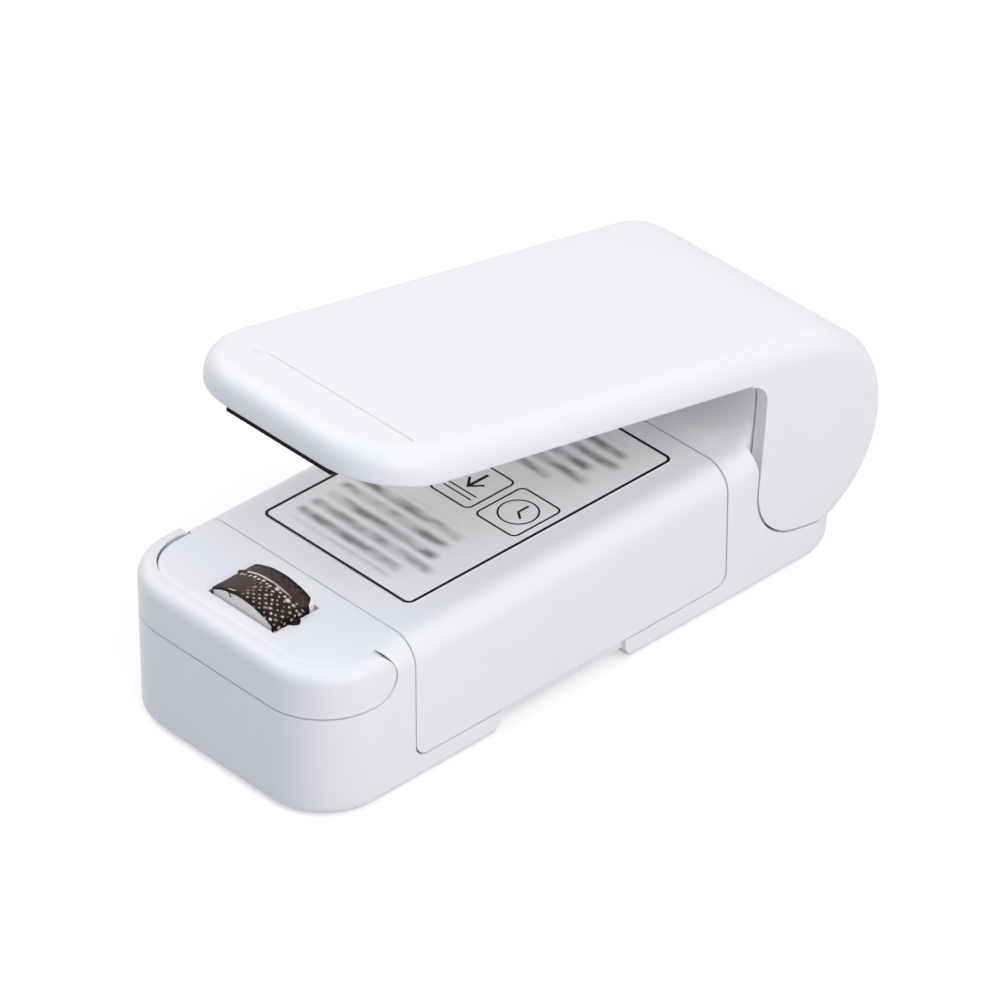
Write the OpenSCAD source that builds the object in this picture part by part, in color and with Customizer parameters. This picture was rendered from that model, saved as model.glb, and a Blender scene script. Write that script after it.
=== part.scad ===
// Mini bag sealer: a hand-held heat sealer with a sprung press lever over a battery body.
// Millimetres, +Z up, nose towards -Y, origin under the middle of the part.

/* [Body] */
// Width over the two long sides
body_w = 40.2; // [39:0.2:46]
// Height of the cover top above the table
body_h = 22; // [21.4:0.1:24]
// Length of the nose in front of the cover
nose_len = 16.4; // [15.6:0.1:20]
// Distance from the rear seam of the cover back to the hinge pin
hinge_len = 13.6; // [12.8:0.1:17]
// Distance from the hinge pin back to the tail of the base
tail_reach = 10.8; // [9:0.1:12]
// Corner radius seen from above
corner_r = 9.4; // [7:0.2:11]
// Rounding of the long top edges
top_r = 3.8; // [2.4:0.1:4.4]
// Rounding of the bottom edge
foot_r = 1.7; // [0.8:0.1:2.4]
// Height of the battery floor
floor_z = 4; // [3.4:0.1:4.6]
// Height of the hollow under the middle of the base
arch_h = 2.2; // [1:0.1:2.6]
// Start of that hollow behind the nose face
arch_from = 29.7; // [26:0.1:34]
// Length of that hollow
arch_len = 25.5; // [18:0.5:30]
// How far the wall over that hollow stands back under the cover
arch_recess = 0.8; // [0.2:0.1:1.4]
// Wall on the closed long side
side_wall = 2; // [1.6:0.1:2.4]

/* [Cover] */
// Height of the lower edge of the cover
cover_low = 3.7; // [2.8:0.1:8]
// Wall of the cover
cover_wall = 1.7; // [1.3:0.1:2]
// Gap between the cells and the far lip of the cover
lip_gap = 0.65; // [0.4:0.05:0.9]
// Seam between cover and base
seam = 0.2; // [0.15:0.05:0.4]
// Rounding of the lower cover corners
cover_corner = 2; // [0.8:0.2:4]
// How far the cover reaches past the battery pit at each end
cover_lap = 0.5; // [0.3:0.1:1]

/* [Label] */
// Label width
label_w = 28; // [20:0.5:31]
// Label length
label_l = 47.2; // [30:0.2:50]
// Label distance behind the front seam
label_from = 4.8; // [2:0.1:6]
// Label offset towards the closed side
label_side = 0.3; // [0:0.1:1]
// Label thickness
label_t = 0.14; // [0.1:0.02:0.3]
// Label corner radius
label_r = 1.2; // [0.4:0.2:3]

/* [Hinge] */
// Height of the hinge pin
pin_h = 19; // [18:0.1:20]
// Hinge pin diameter
pin_d = 3; // [2:0.1:4]
// Radius of the round hood behind the pin
hood_r = 16.3; // [15.6:0.1:17.4]
// How far the lever is open when it rests
open_deg = 11.5; // [8:0.5:13]
// Gap left between pad and heater when the lever is down
press_gap = 0.3; // [0.2:0.05:0.6]
// Running clearance of the pin in the lever
pin_play = 0.05; // [0.03:0.01:0.08]
// Gap between lever and base
swing_gap = 0.35; // [0.3:0.05:0.7]
// Distance of the hump wall ahead of the pin
hump_from = 7; // [6:0.1:7.6]
// Rounding at the foot of the hump wall
hump_fillet = 4.5; // [2:0.1:5]

/* [Lever] */
// How far the lever tip reaches past the heater centre
tip_over = 1.9; // [1.2:0.1:3]
// Thickness at the lever edge
lever_t = 4.7; // [4.6:0.1:7]
// Corner radius of the lever tip
lever_corner = 11.2; // [6:0.2:13]
// Rounding of the upper lever edge
lever_top_r = 3.1; // [1.6:0.1:3.4]
// Rounding of the lower lever edge
lever_low_r = 0.6; // [0.4:0.1:1.5]
// Skin of the lever
skin = 2; // [1.5:0.1:2.3]
// Wall of the lever at its long sides
lever_wall = 2.6; // [2:0.1:3.2]
// Distance of the score line behind the tip
score_from = 8.4; // [4.8:0.1:12]
// Reach of the score line to the cover side
score_right = 16; // [10:0.5:16.5]
// Reach of the score line to the closed side
score_left = 11; // [8:0.5:16.5]
// Length of the turned-in end of the score line
score_hook = 2.4; // [1:0.1:4]
// Width of the score line
score_w = 0.35; // [0.2:0.05:0.6]
// Depth of the score line
score_d = 0.25; // [0.15:0.05:0.4]
// Thickness of the lever liner
liner_t = 1.4; // [1.1:0.1:1.7]

/* [Cheek] */
// Thickness of each hinge cheek
cheek_t = 1.9; // [1.7:0.1:2.6]
// Front edge of the cheek ahead of the pin
cheek_front = 7.64; // [6.8:0.02:8.2]
// Lean of that front edge
cheek_lean = 6.6; // [3:0.2:9]
// Depth of the cheek below the pin
cheek_drop = 12.5; // [12:0.1:14]
// Rounding of the lower front cheek corner
cheek_round = 8.6; // [4:0.1:9]
// Rounding between cheek and lever
cheek_crook = 3.5; // [1:0.1:4]

/* [Press pad] */
// Pad width
pad_w = 18.6; // [14:0.2:19.4]
// Pad length along the lever
pad_l = 4.8; // [3.6:0.1:7]
// Distance of the pad behind the lever tip
pad_from = 2.7; // [2.5:0.1:3.2]
// How far the pad stands below the lever edge
pad_out = 1.2; // [0.4:0.1:1.4]
// Width of the lip that the pad has under the lever edge
pad_lip_w = 19.6; // [19.6:0.2:22]
// Distance of that lip behind the lever tip
pad_lip_from = 1.2; // [1:0.1:2]

/* [Guard] */
// Depth of the guard band below the top of the nose
guard_h = 6.4; // [5:0.1:7]
// How far the guard stands above the nose
guard_up = 0.2; // [0:0.1:0.8]
// Rounding of the upper guard edge
guard_top_r = 2; // [0.6:0.1:3]
// Distance of the guard pivot behind the nose face
guard_from = 9.9; // [9:0.1:11.5]
// Thickness of the guard band in front
guard_t = 2; // [1.6:0.1:2.4]
// Thickness of the guard arms at the sides
guard_arm = 1.85; // [1.6:0.05:2.6]
// Guard pin diameter
guard_pin_d = 1.8; // [1.2:0.1:2.4]
// Gap around the guard
guard_gap = 0.3; // [0.15:0.05:0.4]

/* [Heater] */
// Heater width across the nose
heater_w = 11.2; // [9:0.2:13]
// Heater length along the nose
heater_l = 7.2; // [6.2:0.1:7.6]
// Distance of the heater centre behind the nose face
heater_from = 8.9; // [8.6:0.1:10]
// How far the heater arch stands above the nose
heater_rise = 2.3; // [1.6:0.1:2.8]
// Height of the arch from its ends to its middle
heater_sag = 1.4; // [1:0.1:2.8]
// Travel of the heater when pressed
heater_travel = 1.2; // [0.6:0.1:1.8]
// Cloth thickness
cloth_t = 0.22; // [0.12:0.01:0.3]
// Heating wire diameter
wire_d = 0.5; // [0.3:0.05:0.55]
// Distance of the heating wire behind the heater centre
wire_back = 1.3; // [0.8:0.1:1.8]
// Gap at the two heater sides
heater_side_gap = 0.65; // [0.55:0.05:0.9]
// Gap at the heater front and back
heater_end_gap = 0.3; // [0.2:0.05:0.4]

/* [Cells] */
// Cell diameter
cell_d = 14.5; // [13:0.1:14.6]
// Cell length with its button
cell_l = 50.5; // [44:0.1:52]
// Space between the two cells
cell_space = 0.3; // [0.1:0.05:0.8]
// Length of a cell spring with the cell in place
spring_len = 3.35; // [3.2:0.05:6]

/* [Hidden] */
$fn = 64;
seat = 0.02;
plate_t = 0.4;
cell_gap = 0.05;
hw = body_w / 2;
pit_len = cell_l + spring_len + 2 * plate_t + cell_gap;
cover_len = pit_len + 2 * cover_lap;
nose_reach = nose_len + cover_len + hinge_len;
lever_reach = nose_reach - heater_from + tip_over;
front_y = -(nose_reach + hood_r) / 2;
pin_y = front_y + nose_reach;
tail_y = pin_y + tail_reach;
cover_y0 = front_y + nose_len;
cover_y1 = cover_y0 + cover_len;
pit_y0 = cover_y0 + cover_lap;
pit_y1 = cover_y1 - cover_lap;
pit_left = hw - side_wall;
cover_in = hw - cover_wall - 0.4;
cover_under = body_h - cover_wall;
cell_pitch = cell_d + cell_space;
cell_z = floor_z + cell_gap + cell_d / 2;
lip_z = cell_z + cell_d / 2 + lip_gap;
plate_x = cell_d / 2 - 2.25;
rib_w = 1.2;
rib_h = 5.5;

// hinge and lever
ear_in = hw - cheek_t;
ear_skin = cheek_t - 1;
core_hw = ear_in - 0.4;
hood_in = hood_r - skin;
core_r = hood_in - swing_gap;
lever_z0 = hood_r - lever_t;
lever_roof = hood_r - skin;
cheek_cz = cheek_round - cheek_drop;
cheek_cy = (cheek_round - cheek_cz * sin(cheek_lean)) / cos(cheek_lean) - cheek_front;
slot_hw = 4.4;
slot_r = 6.2;
cavity_y0 = -lever_reach + pad_from - 0.7;
cavity_y1 = -cheek_front;
score_turn = 38;
liner_gap = 0.3;
boss_d = 4;
boss_x = hw - lever_wall - 5;
boss_y = [-lever_reach + 16, -lever_reach / 2, -16];

// guard
guard_r = (guard_h + guard_up) / 2;
guard_y = front_y + guard_from;
guard_z = body_h + guard_up - guard_r;
guard_x = hw - guard_arm;
guard_in = guard_from - guard_t;
guard_corner = min(corner_r - guard_t - 0.2, guard_in - guard_gap - 0.3);
guard_pin_in = 2.1;
guard_pin_out = guard_arm - 0.85;

// heater and nose
heater_y = front_y + heater_from;
heater_x = heater_w / 2;
heater_y0 = heater_y - heater_l / 2;
heater_y1 = heater_y + heater_l / 2;
heater_top = body_h + heater_rise;
arch_top = heater_top - cloth_t;
arch_r = (heater_x * heater_x + heater_sag * heater_sag) / (2 * heater_sag);
arch_cz = arch_top - arch_r;
arch_end = arch_top - heater_sag;
wire_y = heater_y + wire_back;
panel_t = 2;
panel_z = body_h - panel_t;
bay_x = heater_x + 6.5;
bay_y0 = heater_y0 - heater_end_gap - 0.3;
bay_y1 = cover_y0 - 1.6;
hatch_z = 2.2;
hatch_t = 1.78;
hatch_lap = 0.9;
hatch_gap = 0.2;
hatch_r = corner_r - 4.4;
screw_x = bay_x + 2.1;
screw_y = heater_y + 1;
hatch_x = screw_x + 2.2;
carrier_z = 9;
clamp_z1 = panel_z - 0.3;
clamp_z0 = clamp_z1 - 2.5;
clamp_x = heater_x + 2.6;
spring_x = heater_x + 1.45;
carriage_z = clamp_z0 - 1.2;
plunger_z = carriage_z - 3;
plunger_hw = 1.3;

// angle at which the pad stands press_gap above the heater
press_a = min(lever_reach - pad_lip_from, pin_y - heater_y0);
press_b = heater_top - pin_h;
press_d = norm([press_a, press_b]);
close_deg = open_deg + asin((lever_z0 - pad_out - press_gap) / press_d) - atan2(press_b, press_a);

module box(x0, x1, y0, y1, z0, z1) {
  translate([x0, y0, z0]) cube([x1 - x0, y1 - y0, z1 - z0]);
}

module rod_x(r, x0, x1) {
  translate([x0, 0, 0]) rotate([0, 90, 0]) cylinder(r = r, h = x1 - x0);
}

module rod_y(r, y0, y1) {
  translate([0, y0, 0]) rotate([-90, 0, 0]) cylinder(r = r, h = y1 - y0);
}

// Extrudes a face drawn in Y and Z along X, to both sides of the middle
module across(x) {
  translate([-x, 0, 0]) rotate([90, 0, 90]) linear_extrude(2 * x) children();
}

module both_sides() {
  for (s = [0, 1]) mirror([s, 0, 0]) children();
}

module at_pin() {
  translate([0, pin_y, pin_h]) children();
}

module lever_pose() {
  at_pin() rotate([-open_deg, 0, 0]) children();
}

// Quarter disc in the first quadrant
module pie(r) {
  intersection() {
    circle(r);
    square(r + 1);
  }
}

// Half profile of a slab, rounded by lo and hi at its lower and upper edge
module rim_face(r, z0, z1, lo, hi) {
  polygon([[0, z0], [r - lo, z0], [r, z0 + lo], [r, z1 - hi], [r - hi, z1], [0, z1]]);
  translate([r - lo, z0 + lo]) rotate(-90) pie(lo);
  translate([r - hi, z1 - hi]) pie(hi);
}

// Plate outline with two round corners in front and square ones behind
module tongue_face(x, y0, y1, r) {
  polygon([[-x, y1], [-x, y0 + r], [-x + r, y0], [x - r, y0], [x, y0 + r], [x, y1]]);
  translate([x - r, y0 + r]) rotate(-90) pie(r);
  translate([-x + r, y0 + r]) rotate(180) pie(r);
}

// One swept tube through a list of points
function unit(v) = v / norm(v);
function along(p, i) = unit(p[min(i + 1, len(p) - 1)] - p[max(i - 1, 0)]);
function ring(p, i, r, up, m) =
  let(t = along(p, i), n = unit(up - (up * t) * t), b = cross(t, n))
  [for (k = [0:m - 1]) p[i] + r * (cos(360 * k / m) * n + sin(360 * k / m) * b)];

module tube(p, r, up, m = 6) {
  last = (len(p) - 1) * m;
  pts = [for (i = [0:len(p) - 1]) each ring(p, i, r, up, m)];
  sides = [for (i = [0:len(p) - 2]) for (k = [0:m - 1]) for (h = [0, 1])
    let(a = i * m + k, b = i * m + (k + 1) % m)
    h == 0 ? [a, a + m, b + m] : [a, b + m, b]];
  ends = [for (k = [1:m - 2]) each [[0, k, k + 1], [last, last + k + 1, last + k]]];
  polyhedron(pts, concat(sides, ends));
}

// Least gap between the turns of a tube whose turn has n points
function turn_gap(p, r, n) =
  min([for (i = [0:len(p) - 1 - n / 2]) for (j = [i + n / 2:len(p) - 1]) norm(p[i] - p[j])]) - 2 * r;

// Outer form of the body: a slab with rounded plan corners and a rounded rim
module body_form(top = body_h, hi = top_r) {
  ix = hw - corner_r;
  y0 = front_y + corner_r;
  y1 = tail_y - corner_r;
  box(-ix, ix, y0, y1, 0, top);
  both_sides() translate([ix, y1, 0]) rotate([90, 0, 0]) linear_extrude(y1 - y0) body_rim(top, hi);
  translate([0, y1, 0]) across(ix) body_rim(top, hi);
  translate([0, y0, 0]) rotate([0, 0, 180]) across(ix) body_rim(top, hi);
  for (c = [[ix, y1, 0], [-ix, y1, 90], [-ix, y0, 180], [ix, y0, 270]])
    translate([c[0], c[1], 0]) rotate(c[2]) rotate_extrude(angle = 90) body_rim(top, hi);
}

module body_rim(top, hi) {
  rim_face(corner_r, 0, top, foot_r, hi);
}

// Side outline of the cover, drawn in Y and Z and drawn in by g
module cover_face(g) {
  y0 = cover_y0 + g;
  y1 = cover_y1 - g;
  z0 = cover_low + g;
  r = cover_corner;
  polygon([[y0, body_h + 5], [y0, z0 + r], [y0 + r, z0], [y1 - r, z0], [y1, z0 + r], [y1, body_h + 5]]);
  translate([y0 + r, z0 + r]) rotate(180) pie(r);
  translate([y1 - r, z0 + r]) rotate(-90) pie(r);
}

// Side outline of the hinge cheek from the level lever's pin, grown by g
module cheek_face(g) {
  edge = cheek_front + g / cos(cheek_lean);
  r = cheek_round + g;
  back = 2 * hood_r;
  polygon([
    [back, back], [-edge - back * tan(cheek_lean), back],
    [cheek_cy - r * cos(cheek_lean), cheek_cz - r * sin(cheek_lean)],
    [cheek_cy, cheek_cz - r], [back, cheek_cz - r]
  ]);
  translate([cheek_cy, cheek_cz]) circle(r);
}

// Room that cheeks and hood need in the base, from the pin
module swing_face() {
  intersection() {
    circle(hood_r + swing_gap);
    union() {
      rotate(-open_deg) cheek_face(swing_gap);
      rotate(close_deg - open_deg) cheek_face(swing_gap);
    }
  }
}

// Hump that holds the pin between the cheeks, from the pin
module hump_face() {
  deck = body_h - pin_h;
  intersection() {
    circle(core_r);
    union() {
      translate([-hump_from, -core_r - 1]) square(2 * core_r + 2);
      translate([-core_r - 1, -core_r - 1]) square([core_r + 2, core_r + deck]);
    }
  }
}

// Cove at the foot of the hump wall from x0 to x1, falling off at the sides like the long top edges
module hump_cove(x0, x1) {
  r = hump_fillet;
  y = -hump_from - r;
  z = body_h - pin_h - 0.1;
  difference() {
    box(x0, x1, y, y + r + 0.5, z - top_r - 0.5, z + r);
    translate([0, y, z + r]) rotate([0, 90, 0]) rotate_extrude() {
      translate([0, -hw - 1]) square([r, body_w + 2]);
      for (s = [0, 1]) mirror([0, s]) difference() {
        translate([0, hw - top_r]) square([r + top_r, top_r + 1]);
        translate([r + top_r, hw - top_r]) circle(top_r);
      }
    }
  }
}

// Body with the room for lever and hinge
module base_rear() {
  difference() {
    union() {
      difference() {
        union() {
          body_form();
          at_pin() both_sides() hump_cove(core_hw, hw - 0.05);
        }
        at_pin() across(hw + 1) swing_face();
      }
      at_pin() across(core_hw) hump_face();
      at_pin() hump_cove(-core_hw, core_hw);
    }
    at_pin() rod_x(pin_d / 2 + seat, -core_hw - 1, core_hw + 1);
    at_pin() box(-slot_hw, slot_hw, -slot_r, slot_r, -slot_r, core_r + 1);
    at_pin() box(-slot_hw, slot_hw, -hump_from - 1, 0, core_r - 6, core_r + 1);
  }
}

// The same with the room for cover, cells and the hollow underneath
module base_middle() {
  a0 = front_y + arch_from;
  a1 = a0 + arch_len;
  difference() {
    base_rear();
    intersection() {
      across(hw + 1) cover_face(0);
      union() {
        box(-hw - 2, hw + 2, front_y, tail_y, lip_z - seam, body_h + 3);
        box(cover_in - seam, hw + 2, front_y, tail_y, 0, body_h + 3);
      }
    }
    box(-pit_left, cover_in, pit_y0, pit_y1, floor_z, body_h + 4);
    across(hw + 1) polygon([
      [a0 - 1, -1], [a0, 0], [a0 + 1.6, arch_h], [a1 - 1.6, arch_h], [a1, 0], [a1 + 1, -1]
    ]);
    box(hw - arch_recess, hw + 1, a0 + 1.6, a1 - 1.6, -1, cover_low + seam);
  }
  both_sides() translate([cell_pitch / 2 + cell_d / 2 + 0.4, pit_y0 + 3, floor_z - 0.5])
    cube([rib_w, pit_y1 - pit_y0 - 6, rib_h + 0.5]);
}

// Room for the guard band: a slot round the nose, open in front
module guard_slot(g) {
  across(hw + 1) translate([guard_y, guard_z]) {
    translate([-guard_from - 1, -guard_r - g]) square([guard_from + 1, 2 * guard_r + g + 1]);
    circle(guard_r + g);
  }
}

// Turned block inside the guard band, round about the guard pins
module guard_core(r, x) {
  c = guard_corner + r - guard_in;
  translate([0, guard_y, guard_z]) rotate([0, 90, 0]) rotate_extrude() {
    polygon([[0, -x], [r - c, -x], [r, -x + c], [r, x - c], [r - c, x], [0, x]]);
    translate([r - c, x - c]) pie(c);
    translate([r - c, c - x]) rotate(-90) pie(c);
  }
}

module guard_pin_holes(play) {
  both_sides() translate([0, guard_y, guard_z])
    rod_x(guard_pin_d / 2 + play, guard_x - guard_pin_in - 0.1, guard_x + guard_pin_out + 0.1);
}

module hatch_face(g) {
  tongue_face(hatch_x - g, bay_y0 - hatch_lap + g, bay_y1 - g, hatch_r - g);
}

module base_shell() {
  color([0.93, 0.94, 0.95]) difference() {
    difference() {
      base_middle();
      difference() {
        guard_slot(guard_gap);
        guard_core(guard_in - guard_gap, guard_x - guard_gap);
      }
      guard_pin_holes(seat);
    }
    box(-bay_x, bay_x, bay_y0, bay_y1, hatch_z - 1, panel_z);
    box(-heater_x - heater_side_gap, heater_x + heater_side_gap, heater_y0 - heater_end_gap,
      heater_y1 + heater_end_gap, panel_z - 1, body_h + 1);
    translate([0, 0, -1]) linear_extrude(hatch_z + 1) hatch_face(0);
    both_sides() translate([screw_x, screw_y, hatch_z - 0.5]) cylinder(d = screw_d + 2 * seat, h = 8);
    both_sides() translate([cell_pitch / 2, 0, lead_z]) rod_y(lead_r + 0.45, bay_y1 - 1, pit_y0 + 1);
  }
}

screw_d = 1.66;
screw_head_d = 3.2;
screw_head_h = 0.88;
screw_z = 0.5;
screw_reach = 7.5;
cross_w = 0.45;
cross_d = 0.35;

// Cross-head screw standing on its head
module screw(d, head_d, head_h, reach) {
  difference() {
    union() {
      cylinder(d = head_d, h = head_h);
      cylinder(d = d, h = reach);
    }
    for (a = [0, 90]) rotate(a) translate([-3 / 8 * head_d, -cross_w / 2, -1])
      cube([3 / 4 * head_d, cross_w, cross_d + 1]);
  }
}

// Room for such a screw in the plate that it holds
module screw_room(d, head_d, head_h, reach) {
  translate([0, 0, -2]) {
    cylinder(d = d + 0.4, h = reach + 2);
    cylinder(d = head_d + 0.2, h = head_h + 2 + seat);
  }
}

module nose_hatch() {
  color([0.86, 0.87, 0.88]) difference() {
    translate([0, 0, hatch_z - hatch_t - seat]) linear_extrude(hatch_t) hatch_face(hatch_gap);
    both_sides() translate([screw_x, screw_y, screw_z])
      screw_room(screw_d, screw_head_d, screw_head_h, screw_reach);
  }
}

module hatch_screws() {
  color([0.6, 0.6, 0.62]) both_sides() translate([screw_x, screw_y, screw_z])
    screw(screw_d, screw_head_d, screw_head_h, screw_reach);
}

// One cell, its button towards -Y
module cell() {
  rod_y(cell_d / 2, 1, cell_l);
  rod_y(2.6, 0, 1.2);
}

module cell_right() {
  color([0.2, 0.35, 0.3])
    translate([cell_pitch / 2, pit_y0 + plate_t + cell_gap, cell_z]) cell();
}

module cell_left() {
  color([0.2, 0.35, 0.3])
    translate([-cell_pitch / 2, pit_y1 - plate_t - cell_gap, cell_z]) mirror([0, 1, 0]) cell();
}

module front_contacts() {
  color([0.75, 0.75, 0.78]) both_sides() translate([cell_pitch / 2, 0, cell_z])
    box(-plate_x, plate_x, pit_y0 + seat, pit_y0 + plate_t, -plate_x, plate_x);
}

module rear_bridge() {
  x = cell_pitch / 2 + plate_x;
  color([0.75, 0.75, 0.78]) translate([0, 0, cell_z])
    box(-x, x, pit_y1 - plate_t, pit_y1 - seat, -plate_x, plate_x);
}

coil_turns = 3;
coil_wire = 0.3;
coil_r0 = cell_d / 2 - 2.85;
coil_r1 = 2.2;
coil_path = [for (i = [0:coil_turns * 8])
  let(f = i / (coil_turns * 8), r = coil_r0 + (coil_r1 - coil_r0) * f)
  [r * cos(45 * i), coil_wire + seat + (spring_len - 2 * coil_wire - 2 * seat) * f, r * sin(45 * i)]];
echo(str("gap between cell spring turns ", turn_gap(coil_path, coil_wire, 8)));

module cell_springs() {
  color([0.78, 0.78, 0.8]) {
    translate([-cell_pitch / 2, pit_y0 + plate_t, cell_z]) tube(coil_path, coil_wire, [0, 1, 0]);
    translate([cell_pitch / 2, pit_y1 - plate_t, cell_z]) rotate(180)
      tube(coil_path, coil_wire, [0, 1, 0]);
  }
}

module hinge_pin() {
  color([0.7, 0.7, 0.72]) at_pin() rod_x(pin_d / 2, ear_skin - hw, hw - ear_skin);
}

return_r = 3.3;
return_wire = 0.45;
return_turns = 5;
return_pitch = 1.4;
return_end = return_turns * return_pitch / 2;
return_coil = [for (i = [0:return_turns * 8])
  [-return_end + return_pitch * i / 8, return_r * cos(180 - 45 * i), return_r * sin(180 - 45 * i)]];
return_leg = 4.9;
return_path = concat(
  [[-return_end, -return_r - 0.2, hood_in - 4.7]], return_coil,
  [[return_end, return_r + 0.1, -return_leg]]
);
echo(str("gap between return spring turns ", turn_gap(return_coil, return_wire, 8)));

module return_spring() {
  color([0.72, 0.72, 0.75]) lever_pose() tube(return_path, return_wire, [1, 0, 0]);
}

pocket_d = 2;
rivet_r = 1.3;
rivet_y = heater_y - 0.5;

module contact_carrier() {
  color([0.25, 0.25, 0.27]) difference() {
    box(-spring_x - 1.8, spring_x + 1.8, bay_y0 + 0.2, bay_y1 - 0.5, hatch_z, carrier_z);
    box(-3.2, 3.2, rivet_y - rivet_r - 0.4, bay_y1 - 3, carrier_z - pocket_d, carrier_z + 1);
  }
}

leaf_t = 0.25;
leaf_w = 2.8;
leaf_top = plunger_z - 0.1;
leaf_root = bay_y1 - 0.7;

module switch_leaf() {
  z0 = carrier_z + seat;
  color([0.8, 0.65, 0.3]) across(leaf_w / 2) polygon([
    [leaf_root, z0], [leaf_root, z0 + leaf_t], [leaf_root - 1.9, z0 + leaf_t],
    [heater_y + 1, leaf_top], [heater_y - 1.5, leaf_top], [heater_y - 2.4, leaf_top - 0.6],
    [heater_y - 2.4, leaf_top - 0.6 - leaf_t], [heater_y - 1.45, leaf_top - leaf_t],
    [heater_y + 0.9, leaf_top - leaf_t], [leaf_root - 2, z0]
  ]);
}

module switch_rivet() {
  color([0.8, 0.65, 0.3]) translate([0, rivet_y, carrier_z - pocket_d + seat]) {
    cylinder(r = rivet_r, h = 0.7);
    cylinder(r = rivet_r - 0.4, h = pocket_d + 0.6);
  }
}

finger_t = 0.25;
terminal_t = 0.4;

module terminal_fingers() {
  x = heater_x + terminal_t + 0.07;
  color([0.8, 0.65, 0.3]) both_sides()
    box(x, x + finger_t, heater_y + 1.9, heater_y + 3.2, carrier_z + seat, clamp_z0 - heater_travel - 0.4);
}

lead_r = 0.55;
lead_z = 12.5;

module wire_red() {
  x = cell_pitch / 2;
  z = carrier_z + lead_r + 0.07;
  color([0.75, 0.1, 0.08]) tube([
    [x, pit_y0 - seat, lead_z], [x, bay_y1 - 0.6, lead_z], [x - 0.6, bay_y1 - 1.4, lead_z - 0.6],
    [x - 2, bay_y1 - 1.8, z + 0.8], [x - 3.4, bay_y1 - 1.8, z], [1.5, bay_y1 - 1.8, z]
  ], lead_r, [0.2, 0.3, 1]);
}

module wire_black() {
  x = -cell_pitch / 2;
  color([0.08, 0.08, 0.08]) tube([
    [x, pit_y0 - seat, lead_z], [x, bay_y1 - 0.6, lead_z], [x - 0.2, heater_y + 4, lead_z - 0.4],
    [-heater_x - 1.4, heater_y + 2.6, lead_z - 1.3]
  ], lead_r, [0.2, 0.3, 1]);
}

lift_turns = 6;
lift_wire = 0.22;
lift_r = 0.95;
lift_len = clamp_z0 - carrier_z - 2 * seat;
lift_path = [for (i = [0:lift_turns * 8])
  [lift_r * cos(45 * i), lift_r * sin(45 * i),
    lift_wire + (lift_len - 2 * lift_wire) * i / (lift_turns * 8)]];
echo(str("gap between heater spring turns ", turn_gap(lift_path, lift_wire, 8)));

module heater_springs() {
  color([0.72, 0.72, 0.75]) for (s = [-1, 1])
    translate([s * spring_x, heater_y - 1, carrier_z + seat]) tube(lift_path, lift_wire, [0, 0, 1]);
}

module guard_pins() {
  color([0.7, 0.7, 0.72]) both_sides() translate([0, guard_y, guard_z])
    rod_x(guard_pin_d / 2, guard_x - guard_pin_in, guard_x + guard_pin_out);
}

module battery_cover() {
  color([0.94, 0.95, 0.96]) difference() {
    intersection() {
      body_form();
      across(hw + 1) cover_face(seam);
      union() {
        box(-hw - 1, hw + 1, front_y, tail_y, lip_z, body_h + 1);
        box(cover_in - 0.5, hw + 1, front_y, tail_y, 0, body_h + 1);
      }
    }
    box(-cover_in, cover_in, front_y, tail_y, -1, cover_under);
  }
}

module instruction_label() {
  x = label_w / 2 - label_r;
  y = label_l / 2 - label_r;
  color([0.8, 0.8, 0.82])
    translate([-label_side, cover_y0 + label_from + label_l / 2, body_h + seat / 2])
    linear_extrude(label_t) {
      square([2 * x, 2 * y + 2 * label_r], center = true);
      square([2 * x + 2 * label_r, 2 * y], center = true);
      for (c = [[x, y, 0], [-x, y, 90], [-x, -y, 180], [x, -y, 270]])
        translate([c[0], c[1]]) rotate(c[2]) pie(label_r);
    }
}

module guard_bail() {
  color([0.93, 0.94, 0.95]) difference() {
    intersection() {
      body_form(body_h + guard_up, guard_top_r);
      guard_slot(0);
    }
    guard_core(guard_in, guard_x);
    guard_pin_holes(pin_play);
  }
}

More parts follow.
